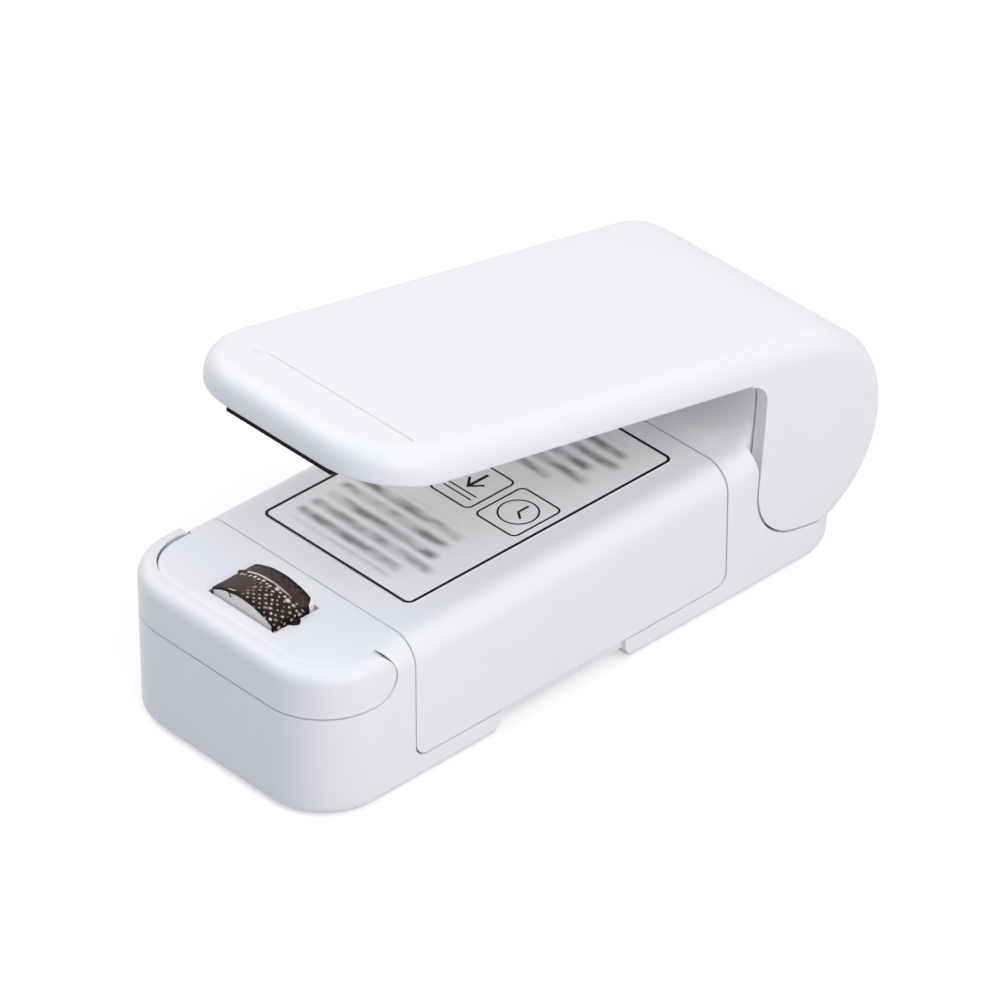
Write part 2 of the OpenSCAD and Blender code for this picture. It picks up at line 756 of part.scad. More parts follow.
// Outer form of the level lever, from its pin
module lever_form() {
  ix = hw - lever_corner;
  y0 = -lever_reach + lever_corner;
  // where the flat of the lever side begins
  side_z = lever_z0 + lever_low_r;
  crook_z = lever_z0 - cheek_crook;
  crook_y = (-cheek_crook - crook_z * sin(cheek_lean)) / cos(cheek_lean) - cheek_front;
  box(-ix, ix, y0, 0, lever_z0, hood_r);
  both_sides() translate([ix, 0, 0]) rotate([90, 0, 0]) linear_extrude(-y0) lever_rim();
  translate([0, y0, 0]) rotate([0, 0, 180]) across(ix) lever_rim();
  for (c = [[-ix, 180], [ix, 270]])
    translate([c[0], y0, 0]) rotate(c[1]) rotate_extrude(angle = 90) lever_rim();
  intersection() {
    rotate([0, 90, 0]) rotate_extrude(angle = 180) {
      polygon([
        [0, -hw], [hood_r - lever_top_r, -hw], [hood_r, lever_top_r - hw], [hood_r, hw - lever_top_r],
        [hood_r - lever_top_r, hw], [0, hw]
      ]);
      translate([hood_r - lever_top_r, hw - lever_top_r]) pie(lever_top_r);
      translate([hood_r - lever_top_r, lever_top_r - hw]) rotate(-90) pie(lever_top_r);
    }
    across(hw + 1) cheek_face(0);
  }
  across(hw) {
    intersection() {
      cheek_face(0);
      translate([-hood_r, -hood_r]) square([hood_r, hood_r + side_z]);
    }
    difference() {
      polygon([
        [crook_y, side_z], [crook_y, crook_z], [crook_y + cheek_crook, crook_z - 0.5],
        [-cheek_front / 2, crook_z - 0.5], [-cheek_front / 2, side_z]
      ]);
      translate([crook_y, crook_z]) circle(cheek_crook);
      polygon([
        [crook_y - 1, crook_z], [crook_y, crook_z],
        [crook_y + cheek_crook * cos(cheek_lean), crook_z + cheek_crook * sin(cheek_lean)],
        [crook_y + cheek_crook * cos(cheek_lean) + sin(cheek_lean),
          crook_z + cheek_crook * sin(cheek_lean) - cos(cheek_lean)],
        [crook_y - 1, crook_z - 1]
      ]);
    }
  }
}

module lever_rim() {
  rim_face(lever_corner, lever_z0, hood_r, lever_low_r, lever_top_r);
}

// Outline of the hollow under the lever, drawn in by g
module cavity_face(g) {
  tongue_face(hw - lever_wall - g, cavity_y0 + g, cavity_y1 - g, lever_corner - lever_wall - g);
}

module lever_shell() {
  y1 = -lever_reach + score_from;
  color([0.95, 0.95, 0.97]) lever_pose() {
    difference() {
      lever_form();
      rod_x(hood_in, -ear_in, ear_in);
      translate([0, 0, lever_z0 - 1]) linear_extrude(lever_roof - lever_z0 + 1) cavity_face(0);
      rod_x(pin_d / 2 + pin_play, ear_skin - hw - 0.2, hw - ear_skin + 0.2);
      box(-score_left, score_right, y1, y1 + score_w, hood_r - score_d, hood_r + 1);
      translate([score_w / 2 - score_left, y1 + score_w, 0]) rotate(180 + score_turn)
        box(0, score_hook, 0, score_w, hood_r - score_d, hood_r + 1);
    }
    // bosses for the liner screws
    for (s = [-1, 1]) for (y = boss_y) translate([s * boss_x, y, lever_z0 + liner_t + 0.25])
      difference() {
        cylinder(d = boss_d, h = lever_roof - lever_z0 - liner_t + 0.25);
        translate([0, 0, -1]) cylinder(d = liner_screw_d + 2 * seat, h = liner_screw_reach + 0.2);
      }
    // rib that the return spring pushes
    intersection() {
      box(-return_end - 0.9, -return_end + 0.9, -return_r + 0.45, -return_r + 2.2, hood_in - 6.3,
        hood_in + 0.5);
      rod_x(hood_in + 0.6, -hw, hw);
    }
  }
}

liner_screw_d = 1.46;
liner_head_d = 3.1;
liner_head_h = 0.58;
liner_screw_reach = lever_roof - lever_z0 - 0.5;
liner_screw_z = lever_z0 + 0.3;

module lever_liner() {
  z0 = lever_z0 + 0.2;
  // where the round hollow of the hood meets the underside
  hollow_y = -hood_in * sin(acos(lever_z0 / hood_in));
  color([0.86, 0.87, 0.88]) lever_pose() difference() {
    translate([0, 0, z0]) linear_extrude(liner_t) intersection() {
      cavity_face(liner_gap);
      translate([-hw, -lever_reach]) square([body_w, lever_reach + hollow_y - 1]);
    }
    box(-pad_w / 2 - 1.1, pad_w / 2 + 1.1, -lever_reach, -lever_reach + pad_from + pad_l + 1.1,
      lever_z0 - 1, lever_z0 + 3);
    for (s = [-1, 1]) for (y = boss_y) translate([s * boss_x, y, liner_screw_z])
      screw_room(liner_screw_d, liner_head_d, liner_head_h, liner_screw_reach);
  }
}

module liner_screws() {
  color([0.6, 0.6, 0.62]) lever_pose() for (s = [-1, 1]) for (y = boss_y)
    translate([s * boss_x, y, liner_screw_z])
    screw(liner_screw_d, liner_head_d, liner_head_h, liner_screw_reach);
}

pad_y0 = -lever_reach + pad_from;
pad_z1 = lever_roof - 1.25;

module pad_holder() {
  color([0.3, 0.3, 0.32]) lever_pose() difference() {
    box(-pad_w / 2 - 0.8, pad_w / 2 + 0.8, pad_y0 - 0.4, pad_y0 + pad_l + 0.8, lever_z0 + 0.1,
      lever_roof - seat);
    box(-pad_w / 2 - seat, pad_w / 2 + seat, pad_y0 - seat, pad_y0 + pad_l + seat, lever_z0 - 1,
      pad_z1 + seat);
  }
}

module press_pad() {
  color([0.08, 0.08, 0.09]) lever_pose() {
    box(-pad_w / 2, pad_w / 2, pad_y0, pad_y0 + pad_l, lever_z0 - pad_out, pad_z1);
    box(-pad_lip_w / 2, pad_lip_w / 2, -lever_reach + pad_lip_from, pad_y0 + pad_l,
      lever_z0 - pad_out, lever_z0 - seat);
  }
}

module heater_carriage() {
  color([0.9, 0.9, 0.88]) difference() {
    union() {
      intersection() {
        box(-heater_x, heater_x, heater_y0, heater_y1, carriage_z, arch_top + 1);
        translate([0, 0, arch_cz]) rod_y(arch_r, heater_y0 - 1, heater_y1 + 1);
      }
      box(-plunger_hw, plunger_hw, heater_y - plunger_hw, heater_y + plunger_hw, plunger_z,
        carriage_z + 1);
    }
    translate([0, 0, arch_cz]) difference() {
      rod_y(arch_r + 1, wire_y - wire_d / 2 - 0.03, wire_y + wire_d / 2 + 0.03);
      rod_y(arch_r - wire_d / 2, wire_y - 1, wire_y + 1);
    }
  }
}

leg_x = heater_x + 0.3;
leg_z0 = clamp_z0 - 1.6;

module heating_wire() {
  a = asin(leg_x / arch_r);
  leg_z1 = arch_cz + arch_r * cos(a);
  color([0.72, 0.55, 0.5]) {
    translate([0, wire_y, arch_cz]) rotate([90, 0, 0]) rotate([0, 0, 90 - a])
      rotate_extrude(angle = 2 * a) translate([arch_r, 0]) circle(d = wire_d);
    both_sides() translate([leg_x, wire_y, leg_z0]) cylinder(d = wire_d, h = leg_z1 - leg_z0);
  }
}

module release_cloth() {
  y0 = heater_y0 + 0.15;
  y1 = heater_y1 - 0.15;
  color([0.2, 0.13, 0.1]) difference() {
    union() {
      intersection() {
        translate([0, 0, arch_cz]) difference() {
          rod_y(arch_r + cloth_t, y0, y1);
          rod_y(arch_r + seat / 2, y0 - 1, y1 + 1);
        }
        box(-heater_x - cloth_t, heater_x + cloth_t, y0 - 1, y1 + 1, arch_end - 1, arch_top + 1);
      }
      both_sides() translate([heater_x + seat / 2, 0, 0])
        box(0, cloth_t, y0, y1, clamp_z0, arch_end + 0.12);
    }
    box(-heater_x - 2, heater_x + 2, wire_y - wire_d / 2 - 0.05, wire_y + wire_d / 2 + 0.05,
      clamp_z0 - 1, arch_top + 2);
  }
}

module cloth_clamps() {
  color([0.82, 0.8, 0.74]) both_sides() difference() {
    box(heater_x + cloth_t + 0.03, clamp_x, heater_y0 + 0.3, heater_y1 - 0.3, clamp_z0, clamp_z1);
    box(heater_x, heater_x + 0.62, wire_y - 0.35, wire_y + 0.35, clamp_z0 - 1, clamp_z1 + 1);
  }
}

module heater_terminals() {
  color([0.8, 0.65, 0.3]) both_sides() difference() {
    translate([heater_x + seat / 2, heater_y, clamp_z0])
      box(0, terminal_t, 0.4, 3.2, -3, -seat);
    translate([leg_x, wire_y, clamp_z0 - 4]) cylinder(d = wire_d + 2 * seat, h = 5);
  }
}

base_shell();
nose_hatch();
hatch_screws();
cell_left();
cell_right();
front_contacts();
rear_bridge();
cell_springs();
hinge_pin();
return_spring();
contact_carrier();
switch_leaf();
switch_rivet();
terminal_fingers();
wire_red();
wire_black();
heater_springs();
guard_pins();
battery_cover();
instruction_label();
guard_bail();
lever_shell();
lever_liner();
liner_screws();
pad_holder();
press_pad();
heater_carriage();
heating_wire();
release_cloth();
cloth_clamps();
heater_terminals();
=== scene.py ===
"""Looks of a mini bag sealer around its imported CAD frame. Metres, nose towards -Y, +Z up."""
import math
import random

import bmesh
import bpy
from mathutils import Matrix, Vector


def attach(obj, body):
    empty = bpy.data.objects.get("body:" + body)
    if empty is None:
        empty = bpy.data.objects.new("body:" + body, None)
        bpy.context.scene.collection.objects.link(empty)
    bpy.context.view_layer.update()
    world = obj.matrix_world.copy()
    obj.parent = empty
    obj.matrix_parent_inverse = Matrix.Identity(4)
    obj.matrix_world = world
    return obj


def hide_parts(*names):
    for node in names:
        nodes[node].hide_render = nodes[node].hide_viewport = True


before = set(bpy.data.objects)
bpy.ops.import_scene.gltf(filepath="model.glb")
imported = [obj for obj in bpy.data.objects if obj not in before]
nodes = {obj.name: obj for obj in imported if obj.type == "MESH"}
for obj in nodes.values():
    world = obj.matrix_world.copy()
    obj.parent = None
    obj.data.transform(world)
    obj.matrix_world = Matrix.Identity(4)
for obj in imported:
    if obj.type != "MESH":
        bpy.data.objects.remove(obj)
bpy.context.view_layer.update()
MM = 0.001
rng = random.Random(7)

# sizes of the CAD model that pieces here sit on, in millimetres
PIN_Y, PIN_Z = 34.7, 19.0
OPEN_DEG = 11.5
LABEL_C = (-0.3, -6.2)
LABEL_W, LABEL_L, LABEL_R = 28.0, 47.2, 1.2
LABEL_TOP = 22.15
HEATER_Y = -42.1
HEATER_X = 5.6
HEATER_SAG = 1.4
LIFT_X = HEATER_X + 1.45
CLOTH_T = 0.22
ARCH_TOP = 24.3 - CLOTH_T
ARCH_R = (HEATER_X ** 2 + HEATER_SAG ** 2) / (2 * HEATER_SAG)
ARCH_CZ = ARCH_TOP - ARCH_R
CLOTH_Y0, CLOTH_Y1 = -45.68, -38.52
WIRE_Y = -40.8
CELL_X, CELL_Z = 7.4, 11.3
CELL_MID_Y = -6.8
PIT_Y0, PIT_Y1 = -34.1, 20.6
PLATE_T = 0.4


# node helpers
def new_material(name):
    mat = bpy.data.materials.new(name)
    mat.use_nodes = True
    tree = mat.node_tree
    return mat, tree, tree.nodes["Principled BSDF"]


def add(tree, kind, **props):
    node = tree.nodes.new(kind)
    for key, value in props.items():
        setattr(node, key, value)
    return node


def plug(tree, a, b):
    tree.links.new(a, b)


def math_node(tree, op, a, b=None):
    node = add(tree, "ShaderNodeMath", operation=op)
    for i, v in enumerate((a, b)):
        if v is None:
            continue
        if isinstance(v, (int, float)):
            node.inputs[i].default_value = v
        else:
            plug(tree, v, node.inputs[i])
    return node.outputs[0]


def ramp(tree, value, low, high, to_low=0.0, to_high=1.0):
    """A smooth step from to_low at low to to_high at high."""
    node = add(tree, "ShaderNodeMapRange", clamp=True, interpolation_type="SMOOTHSTEP")
    plug(tree, value, node.inputs["Value"])
    node.inputs["From Min"].default_value = low
    node.inputs["From Max"].default_value = high
    node.inputs["To Min"].default_value = to_low
    node.inputs["To Max"].default_value = to_high
    return node.outputs["Result"]


def between(tree, value, rise, fall):
    """1 between two soft borders; each is given as the value where it is 0 and the value where it is 1."""
    return math_node(tree, "MULTIPLY", ramp(tree, value, *rise), ramp(tree, value, *fall))


def coords(tree):
    return add(tree, "ShaderNodeTexCoord").outputs["Object"]


def stretched(tree, scale):
    """Object coordinates, scaled along each axis."""
    mapping = add(tree, "ShaderNodeMapping")
    plug(tree, coords(tree), mapping.inputs["Vector"])
    mapping.inputs["Scale"].default_value = scale
    return mapping.outputs["Vector"]


def split(tree, vector):
    """The X, Y and Z outputs of a vector."""
    node = add(tree, "ShaderNodeSeparateXYZ")
    plug(tree, vector, node.inputs["Vector"])
    return node.outputs


def noise(tree, vector, scale, detail=3.0, rough=0.5):
    node = add(tree, "ShaderNodeTexNoise")
    plug(tree, vector, node.inputs["Vector"])
    node.inputs["Scale"].default_value = scale
    node.inputs["Detail"].default_value = detail
    node.inputs["Roughness"].default_value = rough
    return node.outputs["Fac"]


def mix_colour(tree, factor, a, b):
    node = add(tree, "ShaderNodeMix", data_type="RGBA")
    plug(tree, factor, node.inputs["Factor"])
    for sock, v in ((node.inputs["A"], a), (node.inputs["B"], b)):
        if isinstance(v, tuple):
            sock.default_value = (*v, 1.0)
        else:
            plug(tree, v, sock)
    return node.outputs["Result"]


def bump(tree, bsdf, height, distance, strength):
    """Relief of that height in millimetres."""
    node = add(tree, "ShaderNodeBump")
    node.inputs["Distance"].default_value = distance * MM
    node.inputs["Strength"].default_value = strength
    plug(tree, height, node.inputs["Height"])
    plug(tree, node.outputs["Normal"], bsdf.inputs["Normal"])


def seen_directly(tree):
    """1 for what the camera sees, also mirrored or through glass, and 0 for light that scatters."""
    path = add(tree, "ShaderNodeLightPath").outputs
    indirect = math_node(tree, "MAXIMUM", path["Is Glossy Ray"], path["Is Transmission Ray"])
    return math_node(tree, "MAXIMUM", path["Is Camera Ray"], indirect)


def srgb(r, g, b):
    def one(c):
        c /= 255.0
        return c / 12.92 if c <= 0.04045 else ((c + 0.055) / 1.055) ** 2.4
    return one(r), one(g), one(b)


# materials
def moulded(name, colour, rough, grain=0.012, shift=0.02, gloss=0.45):
    """Moulded plastic: fine spark-eroded grain, slightly uneven gloss and tint."""
    mat, tree, bsdf = new_material(name)
    at = coords(tree)
    cloudy = noise(tree, at, scale=45.0, detail=2.0)
    fine = noise(tree, at, scale=2600.0, detail=2.0)
    patchy = noise(tree, at, scale=320.0)
    darker = tuple(c * (1.0 - shift) for c in colour)
    plug(tree, mix_colour(tree, cloudy, darker, colour), bsdf.inputs["Base Color"])
    plug(tree, ramp(tree, patchy, 0.3, 0.7, rough - 0.04, rough + 0.05), bsdf.inputs["Roughness"])
    bsdf.inputs["Specular IOR Level"].default_value = gloss
    bump(tree, bsdf, fine, grain, 0.35)
    return mat


def metal(name, colour, rough, stretch):
    """Drawn or rolled metal with fine streaks, closer together along the axes with a larger stretch."""
    mat, tree, bsdf = new_material(name)
    streak = noise(tree, stretched(tree, stretch), scale=900.0, detail=4.0, rough=0.6)
    darker = tuple(c * 0.8 for c in colour)
    plug(tree, mix_colour(tree, streak, darker, colour), bsdf.inputs["Base Color"])
    plug(tree, ramp(tree, streak, 0.25, 0.75, rough - 0.08, rough + 0.1), bsdf.inputs["Roughness"])
    bsdf.inputs["Metallic"].default_value = 1.0
    bump(tree, bsdf, streak, 0.01, 0.4)
    return mat


def cell_material():
    """Dark cell jacket with a pale band near both ends and bare metal end faces."""
    mat, tree, bsdf = new_material("cell_jacket")
    normal = split(tree, add(tree, "ShaderNodeNewGeometry").outputs["Normal"])
    end = ramp(tree, math_node(tree, "ABSOLUTE", normal["Y"]), 0.8, 0.9)
    grime = noise(tree, coords(tree), scale=240.0, detail=4.0)
    jacket = mix_colour(tree, grime, srgb(28, 66, 58), srgb(38, 84, 74))
    along = math_node(tree, "SUBTRACT", split(tree, coords(tree))["Y"], CELL_MID_Y * MM)
    band = ramp(tree, math_node(tree, "ABSOLUTE", along), 17.5 * MM, 17.9 * MM)
    jacket = mix_colour(tree, band, jacket, srgb(196, 198, 196))
    plug(tree, mix_colour(tree, end, jacket, (0.6, 0.6, 0.62)), bsdf.inputs["Base Color"])
    plug(tree, end, bsdf.inputs["Metallic"])
    bsdf.inputs["Roughness"].default_value = 0.33
    return mat


def label_bars(tree):
    """Ink of soft, faded bars in the front and rear parts of the label, ragged at their right ends."""
    pitch, longest_end, ragged = 2.55, 11.4, 6.5
    strength = 0.82
    place = split(tree, coords(tree))
    u = math_node(tree, "DIVIDE", math_node(tree, "SUBTRACT", place["X"], LABEL_C[0] * MM), MM)
    v = math_node(tree, "DIVIDE", math_node(tree, "SUBTRACT", place["Y"], LABEL_C[1] * MM), MM)
    row = math_node(tree, "DIVIDE", math_node(tree, "ADD", v, 40.0 * pitch), pitch)
    off_middle = math_node(tree, "SUBTRACT", math_node(tree, "FRACT", row), 0.5)
    line = ramp(tree, math_node(tree, "ABSOLUTE", off_middle), 0.05, 0.5, 1.0, 0.0)
    pick = add(tree, "ShaderNodeTexWhiteNoise", noise_dimensions="1D")
    plug(tree, math_node(tree, "FLOOR", row), pick.inputs["W"])
    shorter = math_node(tree, "MULTIPLY", pick.outputs["Value"], ragged)
    past_end = math_node(tree, "SUBTRACT", u, math_node(tree, "SUBTRACT", longest_end, shorter))
    reach = math_node(tree, "MULTIPLY", ramp(tree, u, -12.2, -10.6), ramp(tree, past_end, 1.0, -1.0))
    front = between(tree, v, (-21.8, -20.4), (-6.6, -8.2))
    rear = between(tree, v, (7.6, 9.0), (21.6, 20.2))
    blot = ramp(tree, noise(tree, stretched(tree, (230.0, 420.0, 1.0)), 1.0, 1.0), 0.3, 0.7, 0.3, 1.0)
    ink = math_node(tree, "MULTIPLY", line, math_node(tree, "MAXIMUM", front, rear))
    ink = math_node(tree, "MULTIPLY", ink, math_node(tree, "MULTIPLY", reach, blot))
    return math_node(tree, "MULTIPLY", ink, strength)


def label_material():
    """Pale grey label paper with faded grey bars."""
    mat, tree, bsdf = new_material("label_print")
    cloudy = noise(tree, coords(tree), scale=160.0)
    fibre = noise(tree, coords(tree), scale=1500.0)
    paper = mix_colour(tree, cloudy, srgb(236, 237, 240), srgb(244, 245, 247))
    plug(tree, mix_colour(tree, label_bars(tree), paper, srgb(84, 84, 88)), bsdf.inputs["Base Color"])
    bsdf.inputs["Roughness"].default_value = 0.5
    bump(tree, bsdf, fibre, 0.01, 0.3)
    return mat


def ink_material():
    mat, tree, bsdf = new_material("label_ink")
    grain = noise(tree, coords(tree), scale=1800.0)
    plug(tree, mix_colour(tree, grain, srgb(6, 6, 8), srgb(22, 22, 25)), bsdf.inputs["Base Color"])
    bsdf.inputs["Roughness"].default_value = 0.55
    bsdf.inputs["Specular IOR Level"].default_value = 0.15
    return mat


def yarn_wave(tree, direction):
    wave = add(tree, "ShaderNodeTexWave", wave_type="BANDS", bands_direction=direction)
    plug(tree, coords(tree), wave.inputs["Vector"])
    wave.inputs["Scale"].default_value = 1500.0
    wave.inputs["Distortion"].default_value = 1.2
    return wave.outputs["Fac"]


def cloth_material():
    """Brown coated glass weave, with painted highlights on the yarn crowns and a darker coat at the borders
    and the hanging ends.
    """
    mat, tree, bsdf = new_material("release_weave")
    painted_glint = add(tree, "ShaderNodeAttribute", attribute_name="painted_glint").outputs["Fac"]
    darkening = add(tree, "ShaderNodeAttribute", attribute_name="darkening").outputs["Fac"]
    weave = math_node(tree, "MULTIPLY", yarn_wave(tree, "X"), yarn_wave(tree, "Y"))
    mottle = noise(tree, coords(tree), scale=1100.0, detail=4.0)
    ground = mix_colour(tree, mottle, srgb(22, 14, 12), srgb(80, 61, 57))
    ground = mix_colour(tree, math_node(tree, "MULTIPLY", weave, 0.45), ground, srgb(98, 79, 75))
    # darker at the borders and the hanging ends, and in part over the right half in front
    ground = mix_colour(tree, darkening, ground, srgb(16, 12, 11))
    # painted highlight: a cream colour on the yarn crowns stands in for their glints
    plug(tree, mix_colour(tree, painted_glint, ground, srgb(232, 217, 208)), bsdf.inputs["Base Color"])
    plug(tree, ramp(tree, painted_glint, 0.0, 1.0, 0.6, 0.3), bsdf.inputs["Roughness"])
    plug(tree, ramp(tree, painted_glint, 0.0, 1.0, 0.15, 0.5), bsdf.inputs["Specular IOR Level"])
    bump(tree, bsdf, weave, 0.03, 0.6)
    return mat


WHITE = srgb(238, 239, 242)
white_plastic = moulded("white_plastic", WHITE, 0.44)
lever_plastic = moulded("lever_plastic", WHITE, 0.42)
liner_plastic = moulded("liner_plastic", srgb(214, 216, 219), 0.5)
carriage_plastic = moulded("carriage_plastic", srgb(250, 247, 240), 0.55)
clamp_plastic = moulded("clamp_plastic", srgb(214, 206, 186), 0.55)
dark_plastic = moulded("dark_plastic", srgb(58, 58, 62), 0.5, 0.02, 0.1)
rubber = moulded("press_rubber", srgb(14, 14, 16), 0.72, 0.03, 0.25, 0.15)
pale_yarn = moulded("pale_yarn", srgb(226, 214, 206), 0.6, 0.02, 0.15, 0.3)
red_lead = moulded("red_lead", srgb(180, 26, 22), 0.35, 0.01, 0.1)
black_lead = moulded("black_lead", srgb(22, 22, 24), 0.35, 0.01, 0.1)
steel = metal("steel", (0.62, 0.62, 0.64), 0.32, (1, 12, 1))
spring_steel = metal("spring_steel", (0.55, 0.55, 0.57), 0.28, (6, 6, 6))
brass = metal("brass", (0.72, 0.53, 0.22), 0.34, (1, 8, 1))
heating_metal = metal("heating_metal", (0.44, 0.35, 0.33), 0.5, (8, 1, 1))
label_print = label_material()
label_ink = ink_material()
release_weave = cloth_material()
cell_jacket = cell_material()


# mesh helpers
def link(obj):
    bpy.context.scene.collection.objects.link(obj)
    return obj


def mesh_object(name, verts, faces, material, body, smooth=True):
    mesh = bpy.data.meshes.new(name)
    mesh.from_pydata(verts, [], faces)
    mesh.update()
    obj = link(bpy.data.objects.new(name, mesh))
    mesh.materials.append(material)
    if smooth:
        mesh.shade_smooth()
    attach(obj, body)
    return obj


def grid_faces(rows, columns):
    """Quads of a grid of points that is filled row by row; columns counts the quads of a row."""
    faces = []
    for j in range(rows - 1):
        for i in range(columns):
            a = j * (columns + 1) + i
            faces.append((a, a + 1, a + columns + 2, a + columns + 1))
    return faces


def clean_copy(node):
    """A copy of a CAD node's mesh with flat faces in one piece and smooth shading."""
    mesh = nodes[node].data.copy()
    bm = bmesh.new()
    bm.from_mesh(mesh)
    bmesh.ops.remove_doubles(bm, verts=bm.verts, dist=0.002 * MM)
    bmesh.ops.dissolve_limit(bm, angle_limit=math.radians(0.4), verts=bm.verts, edges=bm.edges)
    for face in bm.faces:
        face.smooth = True
    bm.to_mesh(mesh)
    bm.free()
    imported_normals = mesh.attributes.get("custom_normal")
    if imported_normals:
        mesh.attributes.remove(imported_normals)
    mesh.materials.clear()
    return mesh


def dressed(node, body, material, width):
    """A copy of a CAD node whose sharp edges are broken by a small rounding; it stands for the node."""
    mesh = clean_copy(node)
    mesh.materials.append(material)
    obj = link(bpy.data.objects.new(node + "_moulded", mesh))
    edge = obj.modifiers.new("edge", "BEVEL")
    edge.limit_method = "ANGLE"
    edge.angle_limit = math.radians(34.0)
    edge.width = width * MM
    edge.segments = 2
    edge.harden_normals = True
    edge.use_clamp_overlap = True
    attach(obj, body)
    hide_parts(node)


def finish_node(node, material):
    data = nodes[node].data
    data.materials.clear()
    data.materials.append(material)


# shells
dressed("base_shell", "base", white_plastic, 0.12)
dressed("battery_cover", "cover", white_plastic, 0.12)
dressed("guard_bail", "guard", white_plastic, 0.12)
dressed("lever_shell", "lever", lever_plastic, 0.15)
dressed("press_pad", "lever", rubber, 0.15)
dressed("heater_carriage", "heater", carriage_plastic, 0.12)
dressed("lever_liner", "lever", liner_plastic, 0.15)
dressed("nose_hatch", "base", liner_plastic, 0.2)
dressed("instruction_label", "cover", label_print, 0.03)

for node_name, node_material in {
    "hatch_screws": steel, "liner_screws": steel, "hinge_pin": steel, "guard_pins": steel,
    "front_contacts": steel, "rear_bridge": steel, "contact_carrier": dark_plastic,
    "switch_leaf": brass, "switch_rivet": brass, "terminal_fingers": brass, "heater_terminals": brass,
    "pad_holder": dark_plastic, "heating_wire": heating_metal, "cloth_clamps": clamp_plastic,
    "cell_left": cell_jacket, "cell_right": cell_jacket,
}.items():
    finish_node(node_name, node_material)


# springs and leads as smooth wire, each along the same path as its CAD solid
TURN_STEPS = 8
TURN_DEG = 360 / TURN_STEPS
CELL_WIRE_R = 0.3
RETURN_WIRE_R = 0.45
LIFT_WIRE_R = 0.22
LEAD_R = 0.55


def smooth_path(points, steps=4):
    """Points of a Catmull-Rom curve through a listed or computed path."""
    path = [Vector(p) for p in points]
    path = [2 * path[0] - path[1]] + path + [2 * path[-1] - path[-2]]
    fine = []
    for i in range(1, len(path) - 2):
        a, b, c, d = path[i - 1:i + 3]
        for k in range(steps):
            t = k / steps
            fine.append(0.5 * (2 * b + (c - a) * t + (2 * a - 5 * b + 4 * c - d) * t * t
                               + (3 * b - a - 3 * c + d) * t ** 3))
    return fine + [path[-2]]


def wire_rings(path, radius, sides=10):
    """Vertices and faces of a capped tube, its rings carried along without twist."""
    verts, faces = [], []
    tangent = (path[1] - path[0]).normalized()
    normal = tangent.orthogonal().normalized()
    for i, point in enumerate(path):
        ahead = path[min(i + 1, len(path) - 1)] - path[max(i - 1, 0)]
        tangent = ahead.normalized()
        normal = (normal - normal.dot(tangent) * tangent).normalized()
        side = tangent.cross(normal)
        for k in range(sides):
            a = 2 * math.pi * k / sides
            verts.append((point + radius * (math.cos(a) * normal + math.sin(a) * side)) * MM)
    for i in range(len(path) - 1):
        for k in range(sides):
            a, b = i * sides + k, i * sides + (k + 1) % sides
            faces.append((a, b, b + sides, a + sides))
    faces.append(tuple(reversed(range(sides))))
    faces.append(tuple(range(len(verts) - sides, len(verts))))
    return verts, faces


def wire_piece(node, paths, radius, material, body):
    verts, faces = [], []
    for path in paths:
        more_verts, more_faces = wire_rings(smooth_path(path), radius)
        faces += [tuple(i + len(verts) for i in face) for face in more_faces]
        verts += more_verts
    obj = mesh_object(node + "_drawn", verts, faces, material, body)
    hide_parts(node)


def cell_spring_path(x, y, turn):
    """Three turns that narrow from the plate to the cell; turn is 1 towards +Y and -1 towards -Y."""
    wide, narrow = 4.4, 2.2
    first, rise = 0.32, 2.71
    steps = 3 * TURN_STEPS
    points = []
    for i in range(steps + 1):
        f = i / steps
        r = wide + (narrow - wide) * f
        a = math.radians(TURN_DEG * i)
        points.append((x + turn * r * math.cos(a), y + turn * (first + rise * f), CELL_Z + r * math.sin(a)))
    return points


def lever_point(x, y, z):
    """A place given from the hinge pin of the level lever, with the lever open."""
    a = math.radians(OPEN_DEG)
    return x, PIN_Y + y * math.cos(a) + z * math.sin(a), PIN_Z - y * math.sin(a) + z * math.cos(a)


def return_spring_path():
    """Five turns about the hinge pin, with a leg up into the lever and a leg down into the base."""
    half, radius = 3.5, 3.3
    steps = 5 * TURN_STEPS
    points = [lever_point(-half, -3.5, 9.6)]
    for i in range(steps + 1):
        a = math.radians(180 - TURN_DEG * i)
        points.append(lever_point(half * (2 * i / steps - 1), radius * math.cos(a), radius * math.sin(a)))
    return points + [lever_point(half, 3.4, -4.9)]


def lift_spring_path(x):
    """Six upright turns under one end of the heater."""
    radius, foot, rise = 0.95, 9.24, 7.72
    steps = 6 * TURN_STEPS
    points = []
    for i in range(steps + 1):
        a = math.radians(TURN_DEG * i)
        y = HEATER_Y - 1.0 + radius * math.sin(a)
        points.append((x + radius * math.cos(a), y, foot + rise * i / steps))
    return points


cell_springs = [cell_spring_path(-CELL_X, PIT_Y0 + PLATE_T, 1),
                cell_spring_path(CELL_X, PIT_Y1 - PLATE_T, -1)]
wire_piece("cell_springs", cell_springs, CELL_WIRE_R, spring_steel, "base")
wire_piece("return_spring", [return_spring_path()], RETURN_WIRE_R, spring_steel, "base")
lift_springs = [lift_spring_path(-LIFT_X), lift_spring_path(LIFT_X)]
wire_piece("heater_springs", lift_springs, LIFT_WIRE_R, spring_steel, "base")
red_path = [(7.4, -34.12, 12.5), (7.4, -36.8, 12.5), (6.8, -37.6, 11.9), (5.4, -38.0, 10.42),
            (4.0, -38.0, 9.62), (1.5, -38.0, 9.62)]
wire_piece("wire_red", [red_path], LEAD_R, red_lead, "base")
black_path = [(-7.4, -34.12, 12.5), (-7.4, -36.8, 12.5), (-7.6, -38.1, 12.1), (-7.0, -39.5, 11.2)]
wire_piece("wire_black", [black_path], LEAD_R, black_lead, "base")


# label print: a thin frame and three plain pictograms of the label's own
TILE_STEP = 8.7
TILE_V = 0.6
PRINT_Z = LABEL_TOP + 0.012


